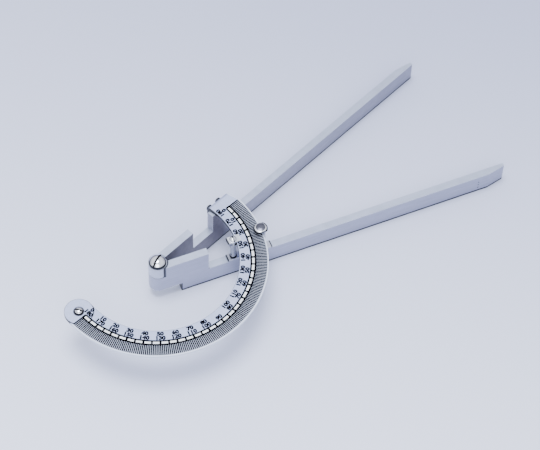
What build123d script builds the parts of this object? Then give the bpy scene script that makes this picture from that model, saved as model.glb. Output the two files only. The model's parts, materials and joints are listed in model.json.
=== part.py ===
from build123d import *
import math
import os

os.makedirs("parts", exist_ok=True)

# Two-arm protractor. Millimetres. Each piece is drawn about the pivot axis, with z = 0 level with the
# bottom edges of the arms, +X along the fixed arm and +Z up. It is saved moved by TO_ORIGIN, so that
# the finished instrument has its origin under the middle of its resting outline.

# Driving dimensions of the two bars
ARM_LENGTH = 200.5
ARM_THICK = 4.1
LOW_TOP = 12.3
HIGH_TOP = 26.0
FIXED_HIGH_END = 25.7
MOVING_HIGH_END = 26.6
FOOT_START = 11.2
FOOT_RISE = 6.8
TIP_THICK = 1.8
TIP_BEVEL = 10.0
FIXED_INNER = -0.35
MOVING_INNER = -0.85
REST_ANGLE = -23.6

# Hinge barrels and the pivot
BARREL_R = 4.95
BARREL_GAP = 0.3
BARREL_SPLIT = 18.2
WASHER_THICK = 0.4
RUNNING_GAP = 0.05
SCREW_POINT = 0.3
PIVOT_R = 2.5
PIVOT_HEAD_R = 4.65
PIVOT_HEAD_RIM = 0.9
PIVOT_HEAD_DOME = 2.3
PIVOT_SLOT_WIDTH = 1.1
PIVOT_SLOT_DEPTH = 1.5
PIVOT_SLOT_ANGLE = 17.3
TOP_WASHER_R = 4.55
MIDDLE_WASHER_R = 4.35
PIVOT_NUT_R = 3.6
PIVOT_NUT_HEIGHT = 2.0
PIVOT_NUT_SLOT = 0.8
NUT_POCKET_R = 3.9
NUT_POCKET_DEPTH = 3.2
SPRING_THICK = 0.8
SPRING_SPLIT = 0.7
SPRING_SPLIT_SLANT = 25.0

# Scale plate: a band centred on a 50 mm radius
SCALE_R = 50.0
BAND_HALF = 7.5
PLATE_THICK = 1.5
PLATE_BOTTOM = 26.2
PLATE_TOP = PLATE_BOTTOM + PLATE_THICK
ZERO_ANGLE = -182.8
STOP_ANGLE = ZERO_ANGLE - 4.7
POST_START = 40.5
POST_END = 54.5
FLANGE_NEAR = 41.8
FLANGE_FAR = 55.7
FLANGE_DROP = 6.2
CORNER_START = -3.5
BEND_R = 0.4
POST_CORNER_CUT = 0.5
FLANGE_CORNER = 1.5
FLANGE_SCREW_R = 1.0
FLANGE_SCREW_X = (44.0, 50.4)
FLANGE_SCREW_Z = 24.9
FLANGE_HEAD_R = 1.8
FLANGE_HEAD_RIM = 0.9
FLANGE_HEAD_DOME = 0.8
FLANGE_SCREW_LENGTH = 4.4
FLANGE_SLOT = 0.5
SCREW_HOLE_DEPTH = 3.3

# End stop in the rounded end of the plate
STOP_HEAD_R = 2.4
STOP_HEAD_RIM = 0.6
STOP_HEAD_DOME = 1.0
STOP_SLOT_WIDTH = 0.7
STOP_SLOT_DEPTH = 0.8
STOP_SCREW_END = 0.6
STOP_SCREW_R = 1.25
STOP_WASHER_THICK = 0.4
STOP_NUT_FLATS = 4.6
STOP_NUT_HEIGHT = 2.0
STOP_SLOT_ANGLE = -60.0

# Guide and clamp on the moving arm
SMALL_SCREW_R = 0.8
SMALL_SCREW_LENGTH = 4.0
SMALL_HOLE_DEPTH = 4.4
SMALL_SLOT_WIDTH = 0.4
SMALL_SLOT_DEPTH = 0.3
GUIDE_SCREW_HEAD_R = 1.35
GUIDE_START = 37.5
GUIDE_END = 62.7
GUIDE_THICK = 1.0
GUIDE_TOP = LOW_TOP + GUIDE_THICK
GUIDE_SCREW_S = 46.0
YOKE_SCREW_S = 56.2
PIN_S = 41.1
PIN_R = 1.6
PIN_COLLAR_R = 2.3
PIN_COLLAR_HEIGHT = 2.4
PIN_FOOT_R = 2.0
PIN_FOOT_HEIGHT = 0.8
PIN_FLAT_S = 42.2
PLAY = 0.3
REST_START = 48.6
REST_END = 53.8
REST_WIDTH = 3.0
PAD_THICK = 0.7
PAD_CORNER = 0.6
REST_CORNER = 0.4
KEEPER_END = 44.8
KEEPER_THICK = 0.9
KEEPER_CORNER = 0.5
CAP_SCREW_S = 40.9
CAP_SCREW_R = 0.7
CAP_SCREW_LENGTH = 5.0
CAP_HEAD_R = 1.9
CAP_HEAD_RIM = 0.5
CAP_HEAD_DOME = 0.9
CAP_SLOT_WIDTH = 0.6
CAP_SLOT_DEPTH = 0.7
CAP_SLOT_TURN = 90.0
YOKE_S = 57.8
YOKE_THICK = 0.9
YOKE_WIDTH = 3.0
YOKE_BEND = 0.8
YOKE_FOOT_END = 54.3
YOKE_LIP = 54.4
YOKE_SCREW_HEAD_R = 1.4
YOKE_SCREW_RIM = 0.3
YOKE_SCREW_DOME = 0.5
YOKE_SLOT_TURN = 70.0
YOKE_LEG_BOTTOM = PLATE_TOP + 1.15
CLAMP_S = 56.4
CLAMP_R = 1.2
KNOB_R = 3.8
KNOB_WIDTH = 5.6
KNOB_RIM = 0.8
KNOB_DOME = 1.2
SOCKET_DEPTH = 1.2
SHOE_THICK = 0.6
SHOE_NECK = 0.9
SHOE_NECK_R = 0.5

FIXED_OUTER = FIXED_INNER + ARM_THICK
MOVING_OUTER = MOVING_INNER - ARM_THICK
MOVING_CENTRE = MOVING_INNER - ARM_THICK / 2
MOVING = Plane.XY.rotated((0, 0, REST_ANGLE))
ARM_RUN = Axis(origin=(0, 0, 0), direction=MOVING.x_dir)

# Outline limits: the plate's outer arc at the left, the fixed arm's tip at the right, the plate's
# rounded end at the back and the moving arm's tip corner at the front
band_outer = SCALE_R + BAND_HALF
band_inner = SCALE_R - BAND_HALF
stop_x = SCALE_R * math.cos(math.radians(STOP_ANGLE))
stop_y = SCALE_R * math.sin(math.radians(STOP_ANGLE))
tip_corner = MOVING.from_local_coords((ARM_LENGTH, MOVING_INNER - TIP_THICK, 0))
middle_x = (ARM_LENGTH - band_outer) / 2
middle_y = (stop_y + BAND_HALF + tip_corner.Y) / 2
TO_ORIGIN = Location((-middle_x, -middle_y, 0))


def side_plane(base, offset):
    """Upright plane beside an arm: x along the arm, y up, normal towards the near side."""
    return Plane(origin=base.from_local_coords((0, offset, 0)), x_dir=base.x_dir, z_dir=-base.y_dir)


def bar_outline(high_end, post):
    """Side view of a bar from the hinge to its tip, with or without the scale post."""
    points = [(0, FOOT_RISE), (FOOT_START, FOOT_RISE), (FOOT_START, 0), (ARM_LENGTH, 0)]
    points += [(ARM_LENGTH, LOW_TOP)]
    if post:
        points += [(POST_END, LOW_TOP), (POST_END, PLATE_BOTTOM)]
        points += [(POST_START, PLATE_BOTTOM), (POST_START, LOW_TOP)]
    points += [(high_end, LOW_TOP), (high_end, HIGH_TOP), (0, HIGH_TOP)]
    return points


def tip_wedge(outer, inner_tip):
    """Plan view of the metal that the bevel takes off the outer face at a bar's tip."""
    return [(ARM_LENGTH - TIP_BEVEL, outer), (ARM_LENGTH + 1, outer), (ARM_LENGTH + 1, inner_tip),
            (ARM_LENGTH, inner_tip)]


def domed_head(radius, rim, dome):
    """Round head with its seat at z = 0: an upright rim below a shallow dome."""
    top = rim + dome
    bow = (radius ** 2 + dome ** 2) / (2 * dome)
    half_way = math.asin(radius / bow) / 2
    crown = (bow * math.sin(half_way), top - bow * (1 - math.cos(half_way)))
    with BuildPart() as head:
        with BuildSketch(Plane.XZ):
            with BuildLine():
                Polyline((0, top), (0, 0), (radius, 0), (radius, rim))
                ThreePointArc((radius, rim), crown, (0, top))
            make_face()
        revolve(axis=Axis.Z)
    return head.part


def slotted_screw(head_r, rim, dome, shank_r, shank_length, slot_width, slot_depth):
    """Round-head screw with its seat at z = 0, its head upwards and its slot along x."""
    with BuildPart() as screw:
        add(domed_head(head_r, rim, dome))
        with BuildSketch(Plane.XY):
            Circle(shank_r)
        extrude(amount=-shank_length)
        chamfer(screw.faces().sort_by(Axis.Z)[0].edges(), SCREW_POINT * shank_r)
        with Locations((0, 0, rim + dome)):
            Box(3 * head_r, slot_width, 2 * slot_depth, mode=Mode.SUBTRACT)
    return screw.part


def level_on_arm(s, z, turn=0):
    """Level plane over the middle of the moving arm, s from the pivot, x turned from the arm."""
    origin = MOVING.from_local_coords((s, MOVING_CENTRE, z))
    return Plane(origin=origin, x_dir=MOVING.x_dir, z_dir=(0, 0, 1)).rotated((0, 0, turn))


def arm_centre_side():
    """Upright plane along the middle of the moving arm's thickness."""
    return side_plane(MOVING, MOVING_CENTRE)


# Fixed arm: bar, upper hinge barrel and the post that carries the scale
with BuildPart() as fixed_arm:
    with BuildSketch(side_plane(Plane.XY, FIXED_INNER)):
        with BuildLine():
            Polyline(*bar_outline(FIXED_HIGH_END, post=True), close=True)
        make_face()
    extrude(amount=-ARM_THICK)
    with BuildSketch(Plane.XY):
        with BuildLine():
            Polyline(*tip_wedge(FIXED_OUTER, FIXED_INNER + TIP_THICK), close=True)
        make_face()
    extrude(amount=LOW_TOP, mode=Mode.SUBTRACT)
    with BuildSketch(Plane.XY):
        Circle(BARREL_R + BARREL_GAP)
    extrude(amount=BARREL_SPLIT, mode=Mode.SUBTRACT)
    with BuildSketch(Plane.XY.offset(BARREL_SPLIT)):
        Circle(BARREL_R)
    extrude(amount=HIGH_TOP - BARREL_SPLIT)
    with BuildSketch(Plane.XY):
        Circle(PIVOT_R + RUNNING_GAP)
    extrude(amount=HIGH_TOP, mode=Mode.SUBTRACT)
    post_corner = fixed_arm.edges().filter_by(Axis.X).group_by(Axis.Z)[-1].sort_by(Axis.Y)[-1]
    chamfer(post_corner, POST_CORNER_CUT)
    for screw_x in FLANGE_SCREW_X:
        with BuildSketch(Plane(origin=(screw_x, FIXED_OUTER, FLANGE_SCREW_Z), z_dir=(0, 1, 0))):
            Circle(FLANGE_SCREW_R + RUNNING_GAP)
        extrude(amount=-SCREW_HOLE_DEPTH, mode=Mode.SUBTRACT)
fixed_arm.part.label = "fixed_arm"
fixed_arm.part.move(TO_ORIGIN)
export_step(fixed_arm.part, "parts/fixed_arm.step")

# Moving arm: the same bar turned the other way about, with the lower hinge barrel
with BuildPart() as moving_arm:
    with BuildSketch(side_plane(MOVING, MOVING_INNER)):
        with BuildLine():
            Polyline(*bar_outline(MOVING_HIGH_END, post=False), close=True)
        make_face()
    extrude(amount=ARM_THICK)
    with BuildSketch(MOVING):
        with BuildLine():
            Polyline(*tip_wedge(MOVING_OUTER, MOVING_INNER - TIP_THICK), close=True)
        make_face()
    extrude(amount=LOW_TOP, mode=Mode.SUBTRACT)
    barrel_top = BARREL_SPLIT - WASHER_THICK - RUNNING_GAP
    with BuildSketch(MOVING.offset(barrel_top)):
        Circle(BARREL_R + BARREL_GAP)
    extrude(amount=HIGH_TOP - barrel_top, mode=Mode.SUBTRACT)
    with BuildSketch(MOVING.offset(FOOT_RISE)):
        Circle(BARREL_R)
    extrude(amount=barrel_top - FOOT_RISE)
    with BuildSketch(MOVING):
        Circle(PIVOT_R + RUNNING_GAP)
    extrude(amount=HIGH_TOP, mode=Mode.SUBTRACT)
    with BuildSketch(MOVING.offset(FOOT_RISE)):
        Circle(NUT_POCKET_R)
    extrude(amount=NUT_POCKET_DEPTH, mode=Mode.SUBTRACT)
    for hole_s in (PIN_S, GUIDE_SCREW_S, YOKE_SCREW_S):
        with BuildSketch(level_on_arm(hole_s, LOW_TOP)):
            Circle(SMALL_SCREW_R + RUNNING_GAP)
        extrude(amount=-SMALL_HOLE_DEPTH, mode=Mode.SUBTRACT)
moving_arm.part.label = "moving_arm"
moving_arm.part.move(TO_ORIGIN)
export_step(moving_arm.part, "parts/moving_arm.step")

# Pivot: domed slotted screw from above, and a spring washer and nut in a pocket of the lower barrel
head_seat = HIGH_TOP + WASHER_THICK
spring_top = FOOT_RISE + NUT_POCKET_DEPTH - RUNNING_GAP
nut_top = spring_top - SPRING_THICK
with BuildPart() as pivot_screw:
    screw_length = head_seat - nut_top + PIVOT_NUT_HEIGHT
    screw = slotted_screw(PIVOT_HEAD_R, PIVOT_HEAD_RIM, PIVOT_HEAD_DOME, PIVOT_R, screw_length,
                          PIVOT_SLOT_WIDTH, PIVOT_SLOT_DEPTH)
    add(screw.moved(Plane.XY.offset(head_seat).rotated((0, 0, PIVOT_SLOT_ANGLE)).location))
pivot_screw.part.label = "pivot_screw"
pivot_screw.part.move(TO_ORIGIN)
export_step(pivot_screw.part, "parts/pivot_screw.step")

with BuildPart() as pivot_top_washer:
    with BuildSketch(Plane.XY.offset(HIGH_TOP)):
        Circle(TOP_WASHER_R)
        Circle(PIVOT_R + RUNNING_GAP, mode=Mode.SUBTRACT)
    extrude(amount=WASHER_THICK)
pivot_top_washer.part.label = "pivot_top_washer"
pivot_top_washer.part.move(TO_ORIGIN)
export_step(pivot_top_washer.part, "parts/pivot_top_washer.step")

with BuildPart() as pivot_middle_washer:
    with BuildSketch(Plane.XY.offset(BARREL_SPLIT - WASHER_THICK)):
        Circle(MIDDLE_WASHER_R)
        Circle(PIVOT_R + RUNNING_GAP, mode=Mode.SUBTRACT)
    extrude(amount=WASHER_THICK)
pivot_middle_washer.part.label = "pivot_middle_washer"
pivot_middle_washer.part.move(TO_ORIGIN)
export_step(pivot_middle_washer.part, "parts/pivot_middle_washer.step")

with BuildPart() as pivot_spring_washer:
    with BuildSketch(Plane.XY.offset(spring_top)):
        Circle(PIVOT_NUT_R)
        Circle(PIVOT_R + RUNNING_GAP, mode=Mode.SUBTRACT)
    extrude(amount=-SPRING_THICK)
    with Locations(Location((PIVOT_NUT_R, 0, spring_top), (SPRING_SPLIT_SLANT, 0, 0))):
        Box(2 * PIVOT_NUT_R, SPRING_SPLIT, 4 * SPRING_THICK, mode=Mode.SUBTRACT)
pivot_spring_washer.part.label = "pivot_spring_washer"
pivot_spring_washer.part.move(TO_ORIGIN)
export_step(pivot_spring_washer.part, "parts/pivot_spring_washer.step")

with BuildPart() as pivot_nut:
    with BuildSketch(Plane.XY.offset(nut_top)):
        Circle(PIVOT_NUT_R)
        Circle(PIVOT_R + RUNNING_GAP, mode=Mode.SUBTRACT)
    extrude(amount=-PIVOT_NUT_HEIGHT)
    with Locations((0, 0, nut_top - PIVOT_NUT_HEIGHT)):
        Box(3 * PIVOT_NUT_R, PIVOT_NUT_SLOT, PIVOT_NUT_HEIGHT, mode=Mode.SUBTRACT)
pivot_nut.part.label = "pivot_nut"
pivot_nut.part.move(TO_ORIGIN)
export_step(pivot_nut.part, "parts/pivot_nut.step")

# Scale plate: half-circle band, rounded past zero, bent down over the post at the other end
flange_outer = FIXED_OUTER + PLATE_THICK
bend_start = FIXED_OUTER - BEND_R
with BuildPart() as scale_plate:
    with BuildSketch(Plane.XY.offset(PLATE_BOTTOM)):
        with BuildLine():
            outer_arc = CenterArc((0, 0), band_outer, STOP_ANGLE, CORNER_START - STOP_ANGLE)
            inner_arc = CenterArc((0, 0), band_inner, STOP_ANGLE, CORNER_START - STOP_ANGLE)
            CenterArc((stop_x, stop_y), BAND_HALF, STOP_ANGLE + 180, 180)
            Polyline(outer_arc @ 1, (FLANGE_FAR, bend_start), (FLANGE_NEAR, bend_start), inner_arc @ 1)
        make_face()
        with Locations((stop_x, stop_y)):
            Circle(STOP_SCREW_R + RUNNING_GAP, mode=Mode.SUBTRACT)
    extrude(amount=PLATE_THICK)
    with BuildSketch(Plane(origin=(FLANGE_NEAR, 0, 0), x_dir=(0, 1, 0), z_dir=(1, 0, 0))):
        with BuildLine():
            bend_z = PLATE_BOTTOM - BEND_R
            flange_low = PLATE_TOP - FLANGE_DROP
            CenterArc((bend_start, bend_z), BEND_R, 0, 90)
            CenterArc((bend_start, bend_z), BEND_R + PLATE_THICK, 0, 90)
            Line((bend_start, PLATE_BOTTOM), (bend_start, PLATE_TOP))
            Polyline((FIXED_OUTER, bend_z), (FIXED_OUTER, flange_low), (flange_outer, flange_low),
                     (flange_outer, bend_z))
        make_face()
    extrude(amount=FLANGE_FAR - FLANGE_NEAR)
    corners = scale_plate.edges().filter_by(Axis.Y).group_by(Axis.Z)[0]
    fillet(corners, FLANGE_CORNER)
    for screw_x in FLANGE_SCREW_X:
        with BuildSketch(Plane(origin=(screw_x, FIXED_OUTER, FLANGE_SCREW_Z), z_dir=(0, 1, 0))):
            Circle(FLANGE_SCREW_R + RUNNING_GAP)
        extrude(amount=PLATE_THICK, mode=Mode.SUBTRACT)
scale_plate.part.label = "scale_plate"
scale_plate.part.move(TO_ORIGIN)
export_step(scale_plate.part, "parts/scale_plate.step")

with BuildPart() as flange_screws:
    for screw_x in FLANGE_SCREW_X:
        seat = Plane(origin=(screw_x, flange_outer, FLANGE_SCREW_Z), x_dir=(2, 0, 1), z_dir=(0, 1, 0))
        screw = slotted_screw(FLANGE_HEAD_R, FLANGE_HEAD_RIM, FLANGE_HEAD_DOME, FLANGE_SCREW_R,
                              FLANGE_SCREW_LENGTH, FLANGE_SLOT, FLANGE_HEAD_DOME)
        add(screw.moved(seat.location))
flange_screws.part.label = "flange_screws"
flange_screws.part.move(TO_ORIGIN)
export_step(flange_screws.part, "parts/flange_screws.step")

# End stop: screw, washer and nut in the rounded end of the plate
with BuildPart() as end_stop_screw:
    shank = PLATE_THICK + STOP_WASHER_THICK + STOP_NUT_HEIGHT + STOP_SCREW_END
    screw = slotted_screw(STOP_HEAD_R, STOP_HEAD_RIM, STOP_HEAD_DOME, STOP_SCREW_R, shank,
                          STOP_SLOT_WIDTH, STOP_SLOT_DEPTH)
    seat = Plane(origin=(stop_x, stop_y, PLATE_TOP), z_dir=(0, 0, 1)).rotated((0, 0, STOP_SLOT_ANGLE))
    add(screw.moved(seat.location))
end_stop_screw.part.label = "end_stop_screw"
end_stop_screw.part.move(TO_ORIGIN)
export_step(end_stop_screw.part, "parts/end_stop_screw.step")

with BuildPart() as end_stop_washer:
    with BuildSketch(Plane.XY.offset(PLATE_BOTTOM)):
        with Locations((stop_x, stop_y)):
            Circle(STOP_HEAD_R)
            Circle(STOP_SCREW_R + RUNNING_GAP, mode=Mode.SUBTRACT)
    extrude(amount=-STOP_WASHER_THICK)
end_stop_washer.part.label = "end_stop_washer"
end_stop_washer.part.move(TO_ORIGIN)
export_step(end_stop_washer.part, "parts/end_stop_washer.step")

with BuildPart() as end_stop_nut:
    with BuildSketch(Plane.XY.offset(PLATE_BOTTOM - STOP_WASHER_THICK)):
        with Locations((stop_x, stop_y)):
            RegularPolygon(STOP_NUT_FLATS / 2, 6, major_radius=False)
            Circle(STOP_SCREW_R + RUNNING_GAP, mode=Mode.SUBTRACT)
    extrude(amount=-STOP_NUT_HEIGHT)
end_stop_nut.part.label = "end_stop_nut"
end_stop_nut.part.move(TO_ORIGIN)
export_step(end_stop_nut.part, "parts/end_stop_nut.step")

# Guide strip on the low top edge of the moving arm, with the screws that hold it
with BuildPart() as guide_base:
    with BuildSketch(arm_centre_side()):
        with Locations(((GUIDE_START + GUIDE_END) / 2, LOW_TOP)):
            Rectangle(GUIDE_END - GUIDE_START, GUIDE_THICK, align=(Align.CENTER, Align.MIN))
    extrude(amount=ARM_THICK / 2, both=True)
    for hole_s in (PIN_S, YOKE_SCREW_S):
        with BuildSketch(level_on_arm(hole_s, LOW_TOP)):
            Circle(SMALL_SCREW_R + RUNNING_GAP)
        extrude(amount=GUIDE_THICK, mode=Mode.SUBTRACT)
    with Locations(level_on_arm(GUIDE_SCREW_S, GUIDE_TOP)):
        CounterSinkHole(SMALL_SCREW_R + RUNNING_GAP, GUIDE_SCREW_HEAD_R + RUNNING_GAP, depth=GUIDE_THICK)
guide_base.part.label = "guide_base"
guide_base.part.move(TO_ORIGIN)
export_step(guide_base.part, "parts/guide_base.step")

with BuildPart() as guide_base_screw:
    with BuildSketch(level_on_arm(GUIDE_SCREW_S, GUIDE_TOP)):
        Circle(GUIDE_SCREW_HEAD_R)
    extrude(amount=SMALL_SCREW_R - GUIDE_SCREW_HEAD_R, taper=45)
    with BuildSketch(level_on_arm(GUIDE_SCREW_S, GUIDE_TOP)):
        Circle(SMALL_SCREW_R)
    extrude(amount=-SMALL_SCREW_LENGTH)
    with Locations(level_on_arm(GUIDE_SCREW_S, GUIDE_TOP, turn=YOKE_SLOT_TURN)):
        Box(4 * GUIDE_SCREW_HEAD_R, SMALL_SLOT_WIDTH, 2 * SMALL_SLOT_DEPTH, mode=Mode.SUBTRACT)
guide_base_screw.part.label = "guide_base_screw"
guide_base_screw.part.move(TO_ORIGIN)
export_step(guide_base_screw.part, "parts/guide_base_screw.step")

# Guide pin at the inner edge of the scale: its top is cut to a D, which clears the plate's edge
keeper_seat = PLATE_TOP + PLAY
with BuildPart() as guide_pin:
    with BuildSketch(level_on_arm(PIN_S, GUIDE_TOP)):
        Circle(PIN_R)
    extrude(amount=keeper_seat - GUIDE_TOP)
    with BuildSketch(level_on_arm(PIN_S, GUIDE_TOP)):
        Circle(PIN_FOOT_R)
    extrude(amount=PIN_FOOT_HEIGHT)
    with BuildSketch(level_on_arm(PIN_S, PLATE_BOTTOM - PLAY)):
        Circle(PIN_COLLAR_R)
    extrude(amount=-PIN_COLLAR_HEIGHT)
    with BuildSketch(level_on_arm(PIN_FLAT_S, PLATE_BOTTOM - PLAY)):
        Rectangle(PIN_R, 3 * PIN_R, align=(Align.MIN, Align.CENTER))
    extrude(amount=PLATE_THICK + 2 * PLAY, mode=Mode.SUBTRACT)
    with BuildSketch(level_on_arm(PIN_S, GUIDE_TOP)):
        Circle(SMALL_SCREW_R)
    extrude(amount=-SMALL_SCREW_LENGTH)
    with BuildSketch(level_on_arm(CAP_SCREW_S, keeper_seat)):
        Circle(CAP_SCREW_R + RUNNING_GAP)
    extrude(amount=-CAP_SCREW_LENGTH, mode=Mode.SUBTRACT)
guide_pin.part.label = "guide_pin"
guide_pin.part.move(TO_ORIGIN)
export_step(guide_pin.part, "parts/guide_pin.step")

with BuildPart() as guide_keeper:
    keeper_length = KEEPER_END - GUIDE_START
    with BuildSketch(level_on_arm(GUIDE_START, keeper_seat)):
        Rectangle(keeper_length, ARM_THICK, align=(Align.MIN, Align.CENTER))
    extrude(amount=KEEPER_THICK)
    fillet(guide_keeper.edges().filter_by(Axis.Z), KEEPER_CORNER)
    with BuildSketch(level_on_arm(CAP_SCREW_S, keeper_seat)):
        Circle(CAP_SCREW_R + RUNNING_GAP)
    extrude(amount=KEEPER_THICK, mode=Mode.SUBTRACT)
guide_keeper.part.label = "guide_keeper"
guide_keeper.part.move(TO_ORIGIN)
export_step(guide_keeper.part, "parts/guide_keeper.step")

with BuildPart() as guide_cap_screw:
    shank = KEEPER_THICK + CAP_SCREW_LENGTH - PLAY
    screw = slotted_screw(CAP_HEAD_R, CAP_HEAD_RIM, CAP_HEAD_DOME, CAP_SCREW_R, shank,
                          CAP_SLOT_WIDTH, CAP_SLOT_DEPTH)
    add(screw.moved(level_on_arm(CAP_SCREW_S, keeper_seat + KEEPER_THICK, turn=CAP_SLOT_TURN).location))
guide_cap_screw.part.label = "guide_cap_screw"
guide_cap_screw.part.move(TO_ORIGIN)
export_step(guide_cap_screw.part, "parts/guide_cap_screw.step")

# Rest block under the scale with a plastic pad on it
pad_bottom = PLATE_BOTTOM - PLAY - PAD_THICK
with BuildPart() as plate_rest:
    with BuildSketch(level_on_arm(REST_START, GUIDE_TOP)):
        Rectangle(REST_END - REST_START, REST_WIDTH, align=(Align.MIN, Align.CENTER))
    extrude(amount=pad_bottom - GUIDE_TOP)
    chamfer(plate_rest.edges().filter_by(Axis.Z), REST_CORNER)
plate_rest.part.label = "plate_rest"
plate_rest.part.move(TO_ORIGIN)
export_step(plate_rest.part, "parts/plate_rest.step")

with BuildPart() as rest_pad:
    with BuildSketch(level_on_arm(REST_START, pad_bottom)):
        Rectangle(REST_END - REST_START, REST_WIDTH, align=(Align.MIN, Align.CENTER))
    extrude(amount=PAD_THICK)
    fillet(rest_pad.edges().filter_by(Axis.Z), PAD_CORNER)
rest_pad.part.label = "rest_pad"
rest_pad.part.move(TO_ORIGIN)
export_step(rest_pad.part, "parts/rest_pad.step")

# Clamp yoke: a bent strip from under the scale, round its outer edge, to a leg above it
with BuildPart() as clamp_yoke:
    foot_top = GUIDE_TOP + YOKE_THICK
    leg_top = YOKE_LEG_BOTTOM + YOKE_THICK
    upright_outer = YOKE_S + YOKE_THICK
    with BuildSketch(arm_centre_side()):
        with BuildLine():
            Polyline((YOKE_FOOT_END, GUIDE_TOP), (upright_outer, GUIDE_TOP), (upright_outer, leg_top),
                     (YOKE_LIP, leg_top), (YOKE_LIP, YOKE_LEG_BOTTOM), (YOKE_S, YOKE_LEG_BOTTOM),
                     (YOKE_S, foot_top), (YOKE_FOOT_END, foot_top), close=True)
        make_face()
    extrude(amount=YOKE_WIDTH / 2, both=True)
    bends = clamp_yoke.edges().filter_by(lambda edge: abs(edge.length - YOKE_WIDTH) < RUNNING_GAP)
    fillet(bends.filter_by_position(ARM_RUN, upright_outer - RUNNING_GAP, upright_outer + RUNNING_GAP),
           YOKE_BEND)
    with BuildSketch(level_on_arm(YOKE_SCREW_S, GUIDE_TOP)):
        Circle(SMALL_SCREW_R + RUNNING_GAP)
    extrude(amount=YOKE_THICK, mode=Mode.SUBTRACT)
    with BuildSketch(level_on_arm(CLAMP_S, YOKE_LEG_BOTTOM)):
        Circle(CLAMP_R + RUNNING_GAP)
    extrude(amount=YOKE_THICK, mode=Mode.SUBTRACT)
clamp_yoke.part.label = "clamp_yoke"
clamp_yoke.part.move(TO_ORIGIN)
export_step(clamp_yoke.part, "parts/clamp_yoke.step")

with BuildPart() as yoke_screw:
    shank = YOKE_THICK + SMALL_SCREW_LENGTH
    screw = slotted_screw(YOKE_SCREW_HEAD_R, YOKE_SCREW_RIM, YOKE_SCREW_DOME, SMALL_SCREW_R, shank,
                          SMALL_SLOT_WIDTH, SMALL_SLOT_DEPTH)
    seat = level_on_arm(YOKE_SCREW_S, GUIDE_TOP + YOKE_THICK, turn=YOKE_SLOT_TURN)
    add(screw.moved(seat.location))
yoke_screw.part.label = "yoke_screw"
yoke_screw.part.move(TO_ORIGIN)
export_step(yoke_screw.part, "parts/yoke_screw.step")

# Clamp: domed thumb knob pressed on a threaded stem, whose shoe bears on the scale
knob_seat = YOKE_LEG_BOTTOM + YOKE_THICK + PLAY
shoe_bottom = PLATE_TOP + RUNNING_GAP
shoe_top = shoe_bottom + SHOE_THICK
with BuildPart() as clamp_knob:
    add(domed_head(KNOB_R, KNOB_RIM, KNOB_DOME).moved(level_on_arm(CLAMP_S, knob_seat).location))
    with Locations(level_on_arm(CLAMP_S, knob_seat)):
        Box(3 * KNOB_R, KNOB_WIDTH, 3 * KNOB_R, mode=Mode.INTERSECT)
    with BuildSketch(level_on_arm(CLAMP_S, knob_seat)):
        Circle(CLAMP_R)
    extrude(amount=SOCKET_DEPTH, mode=Mode.SUBTRACT)
clamp_knob.part.label = "clamp_knob"
clamp_knob.part.move(TO_ORIGIN)
export_step(clamp_knob.part, "parts/clamp_knob.step")

with BuildPart() as clamp_stem:
    with BuildSketch(level_on_arm(CLAMP_S, shoe_top + RUNNING_GAP)):
        Circle(CLAMP_R)
    extrude(amount=knob_seat + SOCKET_DEPTH - shoe_top - RUNNING_GAP)
    with BuildSketch(level_on_arm(CLAMP_S, shoe_top + RUNNING_GAP)):
        Circle(SHOE_NECK_R + RUNNING_GAP)
    extrude(amount=SHOE_NECK + RUNNING_GAP, mode=Mode.SUBTRACT)
clamp_stem.part.label = "clamp_stem"
clamp_stem.part.move(TO_ORIGIN)
export_step(clamp_stem.part, "parts/clamp_stem.step")

with BuildPart() as clamp_shoe:
    with BuildSketch(level_on_arm(CLAMP_S, shoe_bottom)):
        Circle(CLAMP_R)
    extrude(amount=SHOE_THICK)
    with BuildSketch(level_on_arm(CLAMP_S, shoe_top)):
        Circle(SHOE_NECK_R)
    extrude(amount=SHOE_NECK)
clamp_shoe.part.label = "clamp_shoe"
clamp_shoe.part.move(TO_ORIGIN)
export_step(clamp_shoe.part, "parts/clamp_shoe.step")
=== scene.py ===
import json
import math

import bmesh
import bpy
from mathutils import Matrix, Vector


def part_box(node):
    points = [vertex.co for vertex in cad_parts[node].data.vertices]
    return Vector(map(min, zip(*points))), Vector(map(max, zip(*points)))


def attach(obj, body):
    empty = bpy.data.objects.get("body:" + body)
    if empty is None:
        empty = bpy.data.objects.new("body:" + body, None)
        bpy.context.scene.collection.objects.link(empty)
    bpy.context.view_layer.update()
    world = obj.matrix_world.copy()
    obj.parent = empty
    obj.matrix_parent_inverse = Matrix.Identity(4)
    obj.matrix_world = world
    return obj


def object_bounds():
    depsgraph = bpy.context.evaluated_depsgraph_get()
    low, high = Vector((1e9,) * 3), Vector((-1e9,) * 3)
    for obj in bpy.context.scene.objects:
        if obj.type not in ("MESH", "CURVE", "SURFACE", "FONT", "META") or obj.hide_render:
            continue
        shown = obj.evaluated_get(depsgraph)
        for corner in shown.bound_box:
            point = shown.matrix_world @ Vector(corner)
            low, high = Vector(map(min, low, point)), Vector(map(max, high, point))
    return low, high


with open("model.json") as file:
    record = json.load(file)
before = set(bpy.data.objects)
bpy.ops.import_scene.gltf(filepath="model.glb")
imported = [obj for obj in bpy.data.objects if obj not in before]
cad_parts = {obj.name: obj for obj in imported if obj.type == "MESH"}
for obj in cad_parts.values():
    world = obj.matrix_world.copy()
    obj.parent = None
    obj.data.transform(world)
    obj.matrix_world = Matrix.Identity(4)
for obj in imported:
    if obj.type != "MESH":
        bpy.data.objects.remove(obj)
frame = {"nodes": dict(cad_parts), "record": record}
cad_low, cad_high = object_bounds()
NODES = frame["nodes"]

JOINTS = {joint["name"]: joint for joint in frame["record"]["behaviour"]["joints"]}
PIVOT = Vector((*JOINTS["arm_swing"]["pos_m"][:2], 0))

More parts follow.
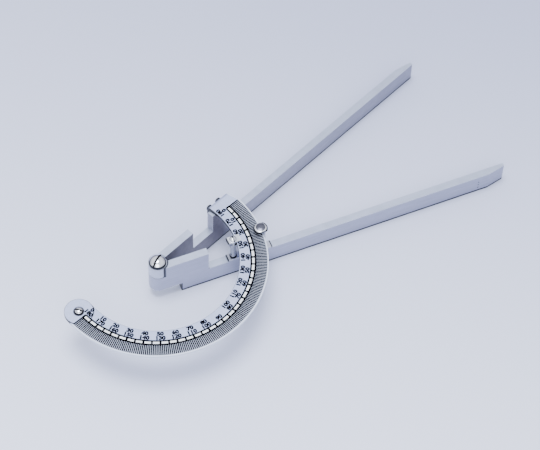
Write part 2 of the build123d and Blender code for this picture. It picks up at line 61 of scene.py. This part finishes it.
# The scale: a degree mark d stands at row angle d - ZERO_TURN about the pivot axis
ZERO_TURN = 182.8
REST_ANGLE = -23.6
PIVOT_SLOT_TURN = 17.3
STOP_SLOT_TURN = -60.0
STRIP_ENDS = (0.0375, 0.0627)
FOOT_START = 0.0112
FOOT_TOP = 0.0068
FIXED_STEP = 0.0257
MOVING_STEP = 0.0266
STEP_LOW = 0.0122
STEP_HIGH = 0.0124
DOTS_AT = 0.1845
DOTS = (0.0029, 0.0052, 0.0075)
DOT_HALF = 0.0003
DOT_HEIGHT = 0.0007
FOOT_LINE = 0.0005
STEP_LINE = 0.0004
SOFT = 0.0001
SLOT_SOFT = 0.00003
PIVOT_SLOT_HALF = 0.00055
STOP_SLOT_HALF = 0.0004
CAP_SLOT_HALF = 0.0003
EDGE_WIDTH = 0.0003

# Painted shade and painted highlights: the distance or height where each begins, and the one where it is
# full. The pin's heights are above the guide strip, and the knob's above its own lower edge.
OUTER_RIM = (0.05695, 0.0571)
INNER_WALL = (0.04266, 0.04258)
CLEAR_OF_STOP = (0.0080, 0.0084)
END_WALL_NEAR = (0.00728, 0.00738)
END_WALL_FAR = (0.0080, 0.0078)
STOP_SEAT = (0.0030, 0.0027)
STOP_RIM = (0.0019, 0.0020)
PIVOT_RIM = (0.00420, 0.00435)
SOLE = (0.00135, 0.00115)
INNER_FACE_END = (0.052, 0.048)
BARREL_SIDE = (0.0052, 0.0051)
BARREL_GAP = (0.0058, 0.0055)
BARREL_GAP_LOW = (0.0177, 0.0179)
STRIP_END = (0.00070, 0.00060)
PIN_FOOT = (0.0011, 0.0009)
PIN_NECK_LOW = (0.0095, 0.0097)
PIN_NECK_HIGH = (0.0103, 0.0101)
KNOB_BRIGHT = (0.00155, 0.00145)
KNOB_DARK = (0.00125, 0.00115)

PLATE_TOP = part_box("scale_plate")[1].z
INK_THICK = 0.00004
INNER_RING_R = 0.0485
OUTER_RING_R = 0.05065
TICK_END_R = 0.0568
GROUND_MARGIN = 0.0001
OUTER_ROW_R = 0.0467
INNER_ROW_R = 0.0442
DIGIT_HEIGHT = 0.0021
DIGIT_STRETCH = 1.16
DIGIT_SHARE = 0.72
DIGIT_SPACING = 1.02
STROKE_GROWTH = 0.00021
CIRCLE_HALF = 0.00048
CIRCLE_INSIDE_HALF = 0.00044
BORDER_TICK = 0.00088
TEN_TICK = 0.00074
DEGREE_TICK = 0.00070
TEN_RUNG = 0.00115
FIVE_RUNG = 0.00102


# ---------------------------------------------------------------- materials

class Recipe:
    """A procedural material: a few nodes on one Principled shader."""

    def __init__(self, name):
        self.material = bpy.data.materials.new(name)
        self.material.use_nodes = True
        self.tree = self.material.node_tree
        self.shader = self.tree.nodes["Principled BSDF"]
        self.place = self.add("ShaderNodeTexCoord").outputs["Object"]

    def add(self, kind, **values):
        node = self.tree.nodes.new(kind)
        for key, value in values.items():
            setattr(node, key, value)
        return node

    def link(self, source, target):
        self.tree.links.new(source, target)

    def noise(self, scale, turn, detail):
        """Noise stretched along one direction: scale is cycles per metre along x, y and z."""
        mapping = self.add("ShaderNodeMapping", vector_type="TEXTURE")
        mapping.inputs["Rotation"].default_value = (0, 0, math.radians(turn))
        mapping.inputs["Scale"].default_value = [1 / s for s in scale]
        self.link(self.place, mapping.inputs["Vector"])
        texture = self.add("ShaderNodeTexNoise")
        texture.inputs["Scale"].default_value = 1.0
        texture.inputs["Detail"].default_value = detail
        self.link(mapping.outputs["Vector"], texture.inputs["Vector"])
        return texture.outputs["Fac"]

    def spread(self, source, low, high):
        """The source's middle range stretched to low...high."""
        ramp = self.add("ShaderNodeMapRange")
        ramp.inputs["From Min"].default_value = 0.3
        ramp.inputs["From Max"].default_value = 0.7
        ramp.inputs["To Min"].default_value = low
        ramp.inputs["To Max"].default_value = high
        self.link(source, ramp.inputs["Value"])
        return ramp.outputs["Result"]

    def tint(self, source, first, second):
        ramp = self.add("ShaderNodeValToRGB")
        ramp.color_ramp.elements[0].position = 0.3
        ramp.color_ramp.elements[0].color = (*first, 1)
        ramp.color_ramp.elements[1].position = 0.7
        ramp.color_ramp.elements[1].color = (*second, 1)
        self.link(source, ramp.inputs["Fac"])
        return ramp.outputs["Color"]

    def mix(self, factor, first, second):
        node = self.add("ShaderNodeMix", data_type="RGBA")
        self.link(factor, node.inputs["Factor"])
        self.link(first, node.inputs["A"])
        self.link(second, node.inputs["B"])
        return node.outputs["Result"]

    def step(self, source, low, high):
        """0 below low, 1 above high; the other way about when low is the larger."""
        ramp = self.add("ShaderNodeMapRange")
        ramp.inputs["From Min"].default_value = min(low, high)
        ramp.inputs["From Max"].default_value = max(low, high)
        ramp.inputs["To Min"].default_value = 0.0 if low < high else 1.0
        ramp.inputs["To Max"].default_value = 1.0 if low < high else 0.0
        self.link(source, ramp.inputs["Value"])
        return ramp.outputs["Result"]

    def times(self, first, second):
        node = self.add("ShaderNodeMath", operation="MULTIPLY")
        self.link(first, node.inputs[0])
        self.link(second, node.inputs[1])
        return node.outputs[0]

    def offset_from(self, centre, keep=(1, 1, 1)):
        """The way from a point to the surface, with only the kept axes."""
        away = self.add("ShaderNodeVectorMath", operation="SUBTRACT")
        self.link(self.place, away.inputs[0])
        away.inputs[1].default_value = centre
        kept = self.add("ShaderNodeVectorMath", operation="MULTIPLY")
        self.link(away.outputs[0], kept.inputs[0])
        kept.inputs[1].default_value = keep
        return kept.outputs[0]

    def distance(self, centre):
        """Distance from the upright line through a point."""
        length = self.add("ShaderNodeVectorMath", operation="LENGTH")
        self.link(self.offset_from(centre, (1, 1, 0)), length.inputs[0])
        return length.outputs["Value"]

    def across(self, centre, normal):
        """Distance from the upright plane through a point with this normal."""
        dot = self.add("ShaderNodeVectorMath", operation="DOT_PRODUCT")
        self.link(self.offset_from(centre), dot.inputs[0])
        dot.inputs[1].default_value = normal
        size = self.add("ShaderNodeMath", operation="ABSOLUTE")
        self.link(dot.outputs["Value"], size.inputs[0])
        return size.outputs[0]

    def height(self):
        split = self.add("ShaderNodeSeparateXYZ")
        self.link(self.place, split.inputs["Vector"])
        return split.outputs["Z"]

    def facing(self, axis, low, high):
        """A step on how far the surface faces along X, Y or Z."""
        geometry = self.add("ShaderNodeNewGeometry")
        split = self.add("ShaderNodeSeparateXYZ")
        self.link(geometry.outputs["Normal"], split.inputs["Vector"])
        return self.step(split.outputs[axis], low, high)

    def over(self, mask, below, shade):
        """Lay one plain shade over a colour where the mask is 1."""
        node = self.add("ShaderNodeMix", data_type="RGBA")
        self.link(mask, node.inputs["Factor"])
        self.link(below, node.inputs["A"])
        node.inputs["B"].default_value = (*shade, 1)
        return node.outputs["Result"]

    def edges(self):
        """1 along edges, within about EDGE_WIDTH of them, and 0 on faces."""
        rounded = self.add("ShaderNodeBevel", samples=4)
        rounded.inputs["Radius"].default_value = EDGE_WIDTH
        flat = self.add("ShaderNodeNewGeometry")
        dot = self.add("ShaderNodeVectorMath", operation="DOT_PRODUCT")
        self.link(rounded.outputs["Normal"], dot.inputs[0])
        self.link(flat.outputs["Normal"], dot.inputs[1])
        return self.step(dot.outputs["Value"], 0.995, 0.93)

    def bump(self, source, depth, strength):
        node = self.add("ShaderNodeBump")
        node.inputs["Distance"].default_value = depth
        node.inputs["Strength"].default_value = strength
        self.link(source, node.inputs["Height"])
        self.link(node.outputs["Normal"], self.shader.inputs["Normal"])

    def set(self, **values):
        for key, value in values.items():
            self.shader.inputs[key.replace("_", " ")].default_value = value


# Near-black: painted shade in slots, gaps, along soles and under edges, and also the colour of the three
# punched dots near the moving arm's tip.
SHADE_AND_DOT_BLACK = (0.030, 0.031, 0.038)
# Painted highlight on the knob's rim.
KNOB_HIGHLIGHT = (0.90, 0.92, 0.96)
# Painted highlight on the scale plate's outer rim.
RIM_HIGHLIGHT = (0.66, 0.70, 0.80)
# Grey painted shade at the root of each arm's step.
STEP_ROOT_SHADE = (0.09, 0.092, 0.11)
# Painted shade on the fixed arm's inner face by the hinge.
INNER_FACE_SHADE = (0.20, 0.185, 0.22)
# Painted light on the side of the fixed arm's upper barrel.
BARREL_HIGHLIGHT = (0.50, 0.53, 0.63)


def satin_metal(name, dark, light, rough, grain, turn, depth=0.000004, metallic=0.85, marks=None,
                top=None):
    """Nickel-plated bar stock: lengthwise grain, cloudy plating and a painted highlight along the edges.

    marks(recipe) gives a list of (mask, shade) laid over the metal; top is a lighter colour painted on
    upward faces as painted light.
    """
    r = Recipe(name)
    lines = r.noise(grain, turn, 4.0)
    clouds = r.noise((45, 45, 45), 0.0, 5.0)
    body = r.mix(clouds, r.tint(lines, dark, light),
                 r.tint(lines, [0.93 * c for c in dark], [0.96 * c for c in light]))
    # A painted highlight along every edge.
    edge_highlight = r.tint(clouds, (0.84, 0.86, 0.90), (0.90, 0.92, 0.95))
    colour = r.mix(r.edges(), body, edge_highlight)
    # Upward faces take the lighter top colour: painted light.
    if top:
        colour = r.mix(r.facing("Z", 0.75, 0.95), colour, r.tint(lines, [0.92 * c for c in top], top))
    for mask, shade in (marks(r) if marks else []):
        colour = r.over(mask, colour, shade)
    r.link(colour, r.shader.inputs["Base Color"])
    r.link(r.spread(r.noise((300, 300, 300), 0.0, 6.0), rough - 0.06, rough + 0.07),
           r.shader.inputs["Roughness"])
    r.bump(lines, depth, 0.35)
    r.set(Metallic=metallic)
    return r.material


def polished_metal(name, dark, light, rough, marks=None):
    """Polished or chromed metal: faint polishing lines and smears."""
    r = Recipe(name)
    smears = r.noise((420, 420, 420), 0.0, 5.0)
    colour = r.tint(smears, dark, light)
    for mask, shade in (marks(r) if marks else []):
        colour = r.over(mask, colour, shade)
    r.link(colour, r.shader.inputs["Base Color"])
    r.link(r.spread(smears, rough, rough + 0.09), r.shader.inputs["Roughness"])
    r.bump(r.noise((1500, 1500, 4000), 0.0, 2.0), 0.000003, 0.12)
    r.set(Metallic=1.0)
    return r.material


def black_plastic(name):
    r = Recipe(name)
    grain = r.noise((2500, 2500, 2500), 0.0, 3.0)
    r.link(r.tint(grain, (0.018, 0.018, 0.020), (0.035, 0.035, 0.038)), r.shader.inputs["Base Color"])
    r.link(r.spread(grain, 0.45, 0.65), r.shader.inputs["Roughness"])
    r.bump(grain, 0.00001, 0.3)
    return r.material


def printed_ink(name):
    """Black filled marks, a little uneven where they are worn."""
    r = Recipe(name)
    wear = r.noise((900, 900, 900), 0.0, 6.0)
    r.link(r.tint(wear, (0.001, 0.001, 0.002), (0.005, 0.005, 0.008)), r.shader.inputs["Base Color"])
    r.link(r.spread(wear, 0.7, 0.85), r.shader.inputs["Roughness"])
    r.bump(wear, 0.000005, 0.2)
    r.set(Specular_IOR_Level=0.0)
    return r.material


def pale_enamel(name, dark=(0.80, 0.81, 0.85), light=(0.88, 0.89, 0.92)):
    """The plain grounds that the circles and the ticks are printed on."""
    r = Recipe(name)
    clouds = r.noise((500, 500, 500), 0.0, 4.0)
    r.link(r.tint(clouds, dark, light), r.shader.inputs["Base Color"])
    r.link(r.spread(clouds, 0.35, 0.5), r.shader.inputs["Roughness"])
    r.bump(clouds, 0.000004, 0.15)
    return r.material


def floor_paper(name):
    """Pale paper with a painted light falloff: darker towards the back right."""
    r = Recipe(name)
    clouds = r.noise((3, 3, 3), 0.0, 4.0)
    away = r.add("ShaderNodeVectorMath", operation="DOT_PRODUCT")
    r.link(r.place, away.inputs[0])
    away.inputs[1].default_value = (0.88, 0.46, 0)
    fade = r.add("ShaderNodeMapRange", interpolation_type="SMOOTHSTEP")
    fade.inputs["From Min"].default_value = -0.32
    fade.inputs["From Max"].default_value = 0.32
    r.link(away.outputs["Value"], fade.inputs["Value"])
    near = r.tint(clouds, (0.800, 0.830, 0.980), (0.820, 0.850, 0.990))
    far = r.tint(clouds, (0.350, 0.372, 0.535), (0.370, 0.392, 0.555))
    r.link(r.mix(fade.outputs["Result"], near, far), r.shader.inputs["Base Color"])
    r.link(r.spread(clouds, 0.85, 0.95), r.shader.inputs["Roughness"])
    r.set(Specular_IOR_Level=0.1)
    return r.material


def middle_of(node):
    low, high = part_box(node)
    return (low + high) / 2


def run_of(turn):
    """The level direction at this angle from +X."""
    return Vector((math.cos(math.radians(turn)), math.sin(math.radians(turn)), 0))


def line_across(r, turn, along, half_width, low, high):
    """A mask square across an arm: how far along, how wide, and between which heights."""
    run = run_of(turn)
    band = r.step(r.across(PIVOT + run * along, run), half_width + SOFT, half_width)
    edge = SOFT / 2
    return r.times(band, r.times(r.step(r.height(), low - edge, low + edge),
                                 r.step(r.height(), high + edge, high - edge)))


def slot_mark(node, turn, half_width):
    """Painted shade in a screw's slot: its walls and floor lie within half_width of the slot's middle."""
    normal = (-math.sin(math.radians(turn)), math.cos(math.radians(turn)), 0)

    def marks(r):
        return [(r.step(r.across(middle_of(node), normal), half_width + SLOT_SOFT, half_width), SHADE_AND_DOT_BLACK)]
    return marks


def plate_marks(r):
    """A painted highlight on the outer rim, and painted shade on the inner wall, round the free end and at
    the end stop's head.
    """
    radius = r.distance(PIVOT)
    from_stop = r.distance(middle_of("end_stop_screw"))
    away = r.step(from_stop, *CLEAR_OF_STOP)
    end_wall = r.times(r.step(from_stop, *END_WALL_FAR), r.step(from_stop, *END_WALL_NEAR))
    return [
        (r.times(r.step(radius, *OUTER_RIM), away), RIM_HIGHLIGHT),
        (end_wall, SHADE_AND_DOT_BLACK),
        (r.step(from_stop, *STOP_SEAT), SHADE_AND_DOT_BLACK),
        (r.step(radius, *INNER_WALL), SHADE_AND_DOT_BLACK),
    ]


def sole_mark(r):
    """A painted shade line along the bottom edge of a bar."""
    return r.step(r.height(), *SOLE)


def fixed_marks(r):
    """Painted shade on the inner face by the hinge, painted light on the barrel, and painted shade along
    the sole, on the foot's end and at the step's root.
    """
    inner = r.times(r.facing("Y", -0.5, -0.7), r.step(r.across(PIVOT, (1, 0, 0)), *INNER_FACE_END))
    barrel = r.step(r.distance(PIVOT), *BARREL_SIDE)
    return [(inner, INNER_FACE_SHADE), (barrel, BARREL_HIGHLIGHT), (sole_mark(r), SHADE_AND_DOT_BLACK),
            (line_across(r, 0, FOOT_START, FOOT_LINE, 0.0, FOOT_TOP), SHADE_AND_DOT_BLACK),
            (line_across(r, 0, FIXED_STEP, STEP_LINE, STEP_LOW, STEP_HIGH), STEP_ROOT_SHADE)]


def moving_marks(r):
    """Painted shade along the sole, in the gap beside the upper barrel, on the foot's end and at the step's
    root, and three small dots near the tip.
    """
    close = r.step(r.distance(PIVOT), *BARREL_GAP)
    marks = [(sole_mark(r), SHADE_AND_DOT_BLACK), (r.times(close, r.step(r.height(), *BARREL_GAP_LOW)), SHADE_AND_DOT_BLACK),
             (line_across(r, REST_ANGLE, FOOT_START, FOOT_LINE, 0.0, FOOT_TOP), SHADE_AND_DOT_BLACK),
             (line_across(r, REST_ANGLE, MOVING_STEP, STEP_LINE, STEP_LOW, STEP_HIGH), STEP_ROOT_SHADE)]
    for low in DOTS:
        marks.append((line_across(r, REST_ANGLE, DOTS_AT, DOT_HALF, low, low + DOT_HEIGHT), SHADE_AND_DOT_BLACK))
    return marks


def strip_marks(r):
    """Painted shade at the ends of the guide strip and its keeper."""
    run = run_of(REST_ANGLE)
    return [(r.step(r.across(PIVOT + run * end, run), *STRIP_END), SHADE_AND_DOT_BLACK) for end in STRIP_ENDS]


def head_marks(r):
    """Painted shade in the slot and round the rim of the pivot screw's head."""
    rim = r.step(r.distance(PIVOT), *PIVOT_RIM)
    return slot_mark("pivot_screw", PIVOT_SLOT_TURN, PIVOT_SLOT_HALF)(r) + [(rim, SHADE_AND_DOT_BLACK)]


def above(r, base, levels):
    """A step on the height above a base height."""
    return r.step(r.height(), base + levels[0], base + levels[1])


def pin_marks(r):
    """Painted shade round the foot of the guide pin and under its collar."""
    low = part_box("guide_base")[1].z
    foot = above(r, low, PIN_FOOT)
    neck = r.times(above(r, low, PIN_NECK_LOW), above(r, low, PIN_NECK_HIGH))
    return [(foot, SHADE_AND_DOT_BLACK), (neck, SHADE_AND_DOT_BLACK)]


def stop_marks(r):
    """Painted shade in the slot and round the rim of the end stop's head."""
    rim = r.step(r.distance(middle_of("end_stop_screw")), *STOP_RIM)
    return slot_mark("end_stop_screw", STOP_SLOT_TURN, STOP_SLOT_HALF)(r) + [(rim, SHADE_AND_DOT_BLACK)]


def knob_marks(r):
    """A painted highlight ring above painted shade on the lower edge of the knob."""
    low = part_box("clamp_knob")[0].z
    return [(above(r, low, KNOB_BRIGHT), KNOB_HIGHLIGHT), (above(r, low, KNOB_DARK), SHADE_AND_DOT_BLACK)]


ALONG_BAR = (60, 3800, 3800)
# Lighter, bluer colour of the bars' upward faces: painted light.
BAR_TOP_LIGHT = (0.44, 0.48, 0.62)
fixed_metal = satin_metal("fixed_bar_metal", (0.275, 0.275, 0.335), (0.36, 0.36, 0.43), 0.36, ALONG_BAR, 0,
                          marks=fixed_marks, top=BAR_TOP_LIGHT)
moving_metal = satin_metal("moving_bar_metal", (0.33, 0.34, 0.43), (0.43, 0.44, 0.54), 0.36, ALONG_BAR,
                           REST_ANGLE, marks=moving_marks, top=BAR_TOP_LIGHT)
plate_metal = satin_metal("scale_metal", (0.37, 0.415, 0.60), (0.46, 0.505, 0.71), 0.45,
                          (1800, 1800, 1800), 0, 0.000003, 0.6, marks=plate_marks)
bracket_metal = satin_metal("bracket_metal", (0.50, 0.52, 0.60), (0.62, 0.64, 0.72), 0.3, ALONG_BAR,
                            REST_ANGLE)
strip_metal = satin_metal("strip_metal", (0.38, 0.39, 0.47), (0.48, 0.49, 0.58), 0.34, ALONG_BAR,
                          REST_ANGLE, marks=strip_marks)
keeper_metal = satin_metal("keeper_metal", (0.56, 0.58, 0.66), (0.70, 0.72, 0.80), 0.28, ALONG_BAR,
                           REST_ANGLE, marks=strip_marks)
# The washer is near-black as painted shade round the pivot head.
washer_steel = polished_metal("washer_steel", (0.03, 0.03, 0.036), (0.07, 0.07, 0.08), 0.3)
pin_chrome = polished_metal("pin_chrome", (0.26, 0.27, 0.31), (0.42, 0.43, 0.48), 0.14, pin_marks)
pivot_chrome = polished_metal("pivot_chrome", (0.74, 0.75, 0.80), (0.86, 0.87, 0.92), 0.06,
                              head_marks)
stop_chrome = polished_metal("stop_chrome", (0.60, 0.60, 0.64), (0.80, 0.80, 0.84), 0.12,
                             stop_marks)
cap_chrome = polished_metal("cap_chrome", (0.66, 0.67, 0.72), (0.80, 0.81, 0.86), 0.1,
                            slot_mark("guide_cap_screw", REST_ANGLE + 90, CAP_SLOT_HALF))
knob_chrome = polished_metal("knob_chrome", (0.07, 0.07, 0.09), (0.13, 0.13, 0.165), 0.22, knob_marks)
yoke_chrome = polished_metal("yoke_chrome", (0.26, 0.27, 0.31), (0.42, 0.43, 0.48), 0.2)
screw_steel = polished_metal("screw_steel", (0.06, 0.062, 0.075), (0.13, 0.133, 0.155), 0.16)
steel = polished_metal("bright_steel", (0.50, 0.51, 0.54), (0.64, 0.65, 0.68), 0.22)
pad_plastic = black_plastic("pad_plastic")
ink = printed_ink("scale_ink")
enamel = pale_enamel("scale_enamel")
tick_ground = pale_enamel("tick_ground", (0.40, 0.43, 0.54), (0.48, 0.51, 0.62))

LOOKS = {
    "fixed_arm": fixed_metal, "moving_arm": moving_metal, "scale_plate": plate_metal,
    "guide_base": strip_metal, "guide_keeper": keeper_metal, "plate_rest": bracket_metal,
    "clamp_yoke": yoke_chrome, "rest_pad": pad_plastic, "pivot_screw": pivot_chrome,
    "pivot_top_washer": washer_steel, "flange_screws": screw_steel, "end_stop_screw": stop_chrome,
    "guide_pin": pin_chrome, "guide_cap_screw": cap_chrome, "clamp_knob": knob_chrome,
}
BREAKS = {
    "fixed_arm": 0.00028, "moving_arm": 0.00028, "scale_plate": 0.00012, "guide_base": 0.0001,
    "guide_keeper": 0.00015, "clamp_yoke": 0.0001, "plate_rest": 0.0001,
}
for name, node in NODES.items():
    node.data.materials.clear()
    node.data.materials.append(LOOKS.get(name, steel))
    weld = node.modifiers.new("weld", "WELD")
    weld.merge_threshold = 0.000001
    if name in BREAKS:
        bevel = node.modifiers.new("edge_break", "BEVEL")
        bevel.width = BREAKS[name]
        bevel.segments = 2
        bevel.limit_method = "ANGLE"
        bevel.angle_limit = math.radians(40)
        bevel.harden_normals = True
        bevel.use_clamp_overlap = True
        flats = node.modifiers.new("flat_faces", "WEIGHTED_NORMAL")
        flats.keep_sharp = True


# ---------------------------------------------------------------- printed scale

def row_angle(degree):
    return math.radians(degree - ZERO_TURN)


def polar(radius, angle):
    return (PIVOT.x + radius * math.cos(angle), PIVOT.y + radius * math.sin(angle))


def slab(mesh, outline, low, high):
    """A thin closed slab with the given outline, counter-clockwise from above."""
    bottom = [mesh.verts.new((x, y, low)) for x, y in outline]
    top = [mesh.verts.new((x, y, high)) for x, y in outline]
    count = len(outline)
    mesh.faces.new(list(reversed(bottom)))
    mesh.faces.new(top)
    for i in range(count):
        j = (i + 1) % count
        mesh.faces.new((bottom[i], bottom[j], top[j], top[i]))


def arc_band(mesh, inner, outer, first, last, low, high):
    """A thin arc band built of closed ring sections between two degree marks."""
    steps = max(2, int(abs(last - first)))
    rings = []
    for i in range(steps + 1):
        angle = row_angle(first + (last - first) * i / steps)
        corners = [(inner, low), (outer, low), (outer, high), (inner, high)]
        rings.append([mesh.verts.new((*polar(radius, angle), z)) for radius, z in corners])
    for a, b in zip(rings, rings[1:]):
        for i in range(4):
            j = (i + 1) % 4
            mesh.faces.new((a[i], a[j], b[j], b[i]))
    mesh.faces.new(list(reversed(rings[0])))
    mesh.faces.new(rings[-1])


def radial_mark(mesh, degree, inner, outer, width, low, high):
    angle = row_angle(degree)
    along = Vector((math.cos(angle), math.sin(angle)))
    across = Vector((-along.y, along.x)) * width / 2
    near, far = Vector(polar(inner, angle)), Vector(polar(outer, angle))
    points = [near - across, far - across, far + across, near + across]
    slab(mesh, [tuple(p) for p in points], low, high)


def piece(name, mesh, material, body):
    bmesh.ops.recalc_face_normals(mesh, faces=mesh.faces[:])
    data = bpy.data.meshes.new(name)
    mesh.to_mesh(data)
    mesh.free()
    data.materials.append(material)
    thing = bpy.data.objects.new(name, data)
    bpy.context.scene.collection.objects.link(thing)
    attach(thing, body)
    return thing


ring_mesh = bmesh.new()
arc_band(ring_mesh, INNER_RING_R, OUTER_RING_R, 0, 180, PLATE_TOP, PLATE_TOP + INK_THICK / 2)
piece("scale_ring_enamel", ring_mesh, enamel, "scale_arm")

ground_mesh = bmesh.new()
arc_band(ground_mesh, OUTER_RING_R, TICK_END_R + GROUND_MARGIN, 0, 180,
         PLATE_TOP, PLATE_TOP + INK_THICK / 2)
piece("scale_tick_ground", ground_mesh, tick_ground, "scale_arm")

ink_low = PLATE_TOP
ink_high = PLATE_TOP + INK_THICK
circle_mesh = bmesh.new()
arc_band(circle_mesh, INNER_RING_R - CIRCLE_HALF, INNER_RING_R + CIRCLE_INSIDE_HALF, 0, 180,
         ink_low, ink_high)
arc_band(circle_mesh, OUTER_RING_R - CIRCLE_HALF, OUTER_RING_R + CIRCLE_HALF, 0, 180,
         ink_low, ink_high)
piece("scale_circles", circle_mesh, ink, "scale_arm")

tick_mesh = bmesh.new()
for degree in range(181):
    heavy = degree % 10 == 0
    border = degree in (0, 180)
    width = BORDER_TICK if border else TEN_TICK if heavy else DEGREE_TICK
    radial_mark(tick_mesh, degree, OUTER_RING_R, TICK_END_R, width, ink_low, ink_high)
    if border or heavy:
        radial_mark(tick_mesh, degree, INNER_RING_R, OUTER_RING_R, TEN_RUNG, ink_low, ink_high)
    elif degree % 5 == 0:
        radial_mark(tick_mesh, degree, INNER_RING_R, OUTER_RING_R, FIVE_RUNG, ink_low, ink_high)
piece("scale_ticks", tick_mesh, ink, "scale_arm")


def number_mesh(text):
    """A number as a thin solid on z = 0, centred on its own middle and about DIGIT_HEIGHT tall."""
    curve = bpy.data.curves.new("number", "FONT")
    curve.body = text
    curve.align_x = "CENTER"
    curve.size = DIGIT_HEIGHT / DIGIT_SHARE
    curve.space_character = DIGIT_SPACING
    curve.offset = STROKE_GROWTH
    curve.extrude = INK_THICK / 2
    curve.resolution_u = 3
    thing = bpy.data.objects.new("number", curve)
    bpy.context.scene.collection.objects.link(thing)
    bpy.context.view_layer.update()
    data = bpy.data.meshes.new_from_object(thing.evaluated_get(bpy.context.evaluated_depsgraph_get()))
    bpy.data.objects.remove(thing)
    bpy.data.curves.remove(curve)
    heights = [v.co.y for v in data.vertices]
    middle = (min(heights) + max(heights)) / 2
    data.transform(Matrix.Translation((0, -middle, INK_THICK / 2)))
    return data


numbers = bmesh.new()
for degree in range(0, 181, 10):
    rows = [(OUTER_ROW_R, 180 - degree)]
    if degree != 90:
        rows.append((INNER_ROW_R, degree))
    for radius, value in rows:
        data = number_mesh(str(value))
        angle = row_angle(degree)
        outward = Vector((math.cos(angle), math.sin(angle), 0))
        onward = Vector((-outward.y, outward.x, 0))
        turned = Matrix((onward, -outward, Vector((0, 0, 1)))).transposed().to_4x4()
        data.transform(Matrix.Diagonal((DIGIT_STRETCH, 1, 1, 1)))
        data.transform(Matrix.Translation(PIVOT + outward * radius + Vector((0, 0, PLATE_TOP))) @ turned)
        numbers.from_mesh(data)
        bpy.data.meshes.remove(data)
bmesh.ops.remove_doubles(numbers, verts=numbers.verts[:], dist=1e-7)
piece("scale_numbers", numbers, ink, "scale_arm")


# ---------------------------------------------------------------- floor, light and camera

floor_mesh = bmesh.new()
bmesh.ops.create_grid(floor_mesh, x_segments=8, y_segments=8, size=4.0)
floor_data = bpy.data.meshes.new("floor")
floor_mesh.to_mesh(floor_data)
floor_mesh.free()
floor_data.materials.append(floor_paper("floor_paper"))
floor = bpy.data.objects.new("floor", floor_data)
floor.location = (0, 0, -0.00005)
bpy.context.scene.collection.objects.link(floor)

HORIZON = (0.10, 0.10, 0.13)
LIGHT_COLOUR = (0.87, 0.92, 1.0)

world = bpy.data.worlds.new("studio")
bpy.context.scene.world = world
world.use_nodes = True
tree = world.node_tree
background = tree.nodes["Background"]
coordinates = tree.nodes.new("ShaderNodeTexCoord")
split = tree.nodes.new("ShaderNodeSeparateXYZ")
tree.links.new(coordinates.outputs["Generated"], split.inputs["Vector"])
sky = tree.nodes.new("ShaderNodeValToRGB")
sky.color_ramp.elements[0].position = 0.0
sky.color_ramp.elements[0].color = (*HORIZON, 1)
sky.color_ramp.elements[1].position = 1.0
sky.color_ramp.elements[1].color = (0.88, 0.92, 1.0, 1)
for position, shade in ((0.16, HORIZON), (0.30, (0.55, 0.57, 0.65)), (0.6, (0.87, 0.91, 1.0))):
    element = sky.color_ramp.elements.new(position)
    element.color = (*shade, 1)
tree.links.new(split.outputs["Z"], sky.inputs["Fac"])
tree.links.new(sky.outputs["Color"], background.inputs["Color"])
background.inputs["Strength"].default_value = 1.6


def soft_light(name, place, aim, size, power):
    data = bpy.data.lights.new(name, "AREA")
    data.shape = "DISK"
    data.size = size
    data.energy = power
    data.color = LIGHT_COLOUR
    light = bpy.data.objects.new(name, data)
    light.location = place
    light.rotation_euler = (Vector(aim) - Vector(place)).to_track_quat("-Z", "Y").to_euler()
    bpy.context.scene.collection.objects.link(light)


middle = (cad_low + cad_high) / 2
soft_light("key", (-0.10, 0.16, 2.3), middle, 1.15, 70.0)
soft_light("fill", (-0.75, -0.65, 1.1), middle, 0.9, 10.0)

camera_data = bpy.data.cameras.new("camera")
camera_data.lens = 138.64
camera_data.sensor_width = 36.0
camera_data.clip_end = 20.0
camera = bpy.data.objects.new("camera", camera_data)
bpy.context.scene.collection.objects.link(camera)
bpy.context.scene.camera = camera
CAMERA_PLACE = PIVOT + Vector((-0.40307, -0.43777, 0.92318))
CAMERA_AIM = PIVOT + Vector((0.07117, -0.01328, 0.0))
CAMERA_ROLL = 2.18
look = (CAMERA_AIM - CAMERA_PLACE).to_track_quat("-Z", "Y")
camera.rotation_euler = (look.to_matrix() @ Matrix.Rotation(math.radians(CAMERA_ROLL), 3, "Z")).to_euler()
camera.location = CAMERA_PLACE
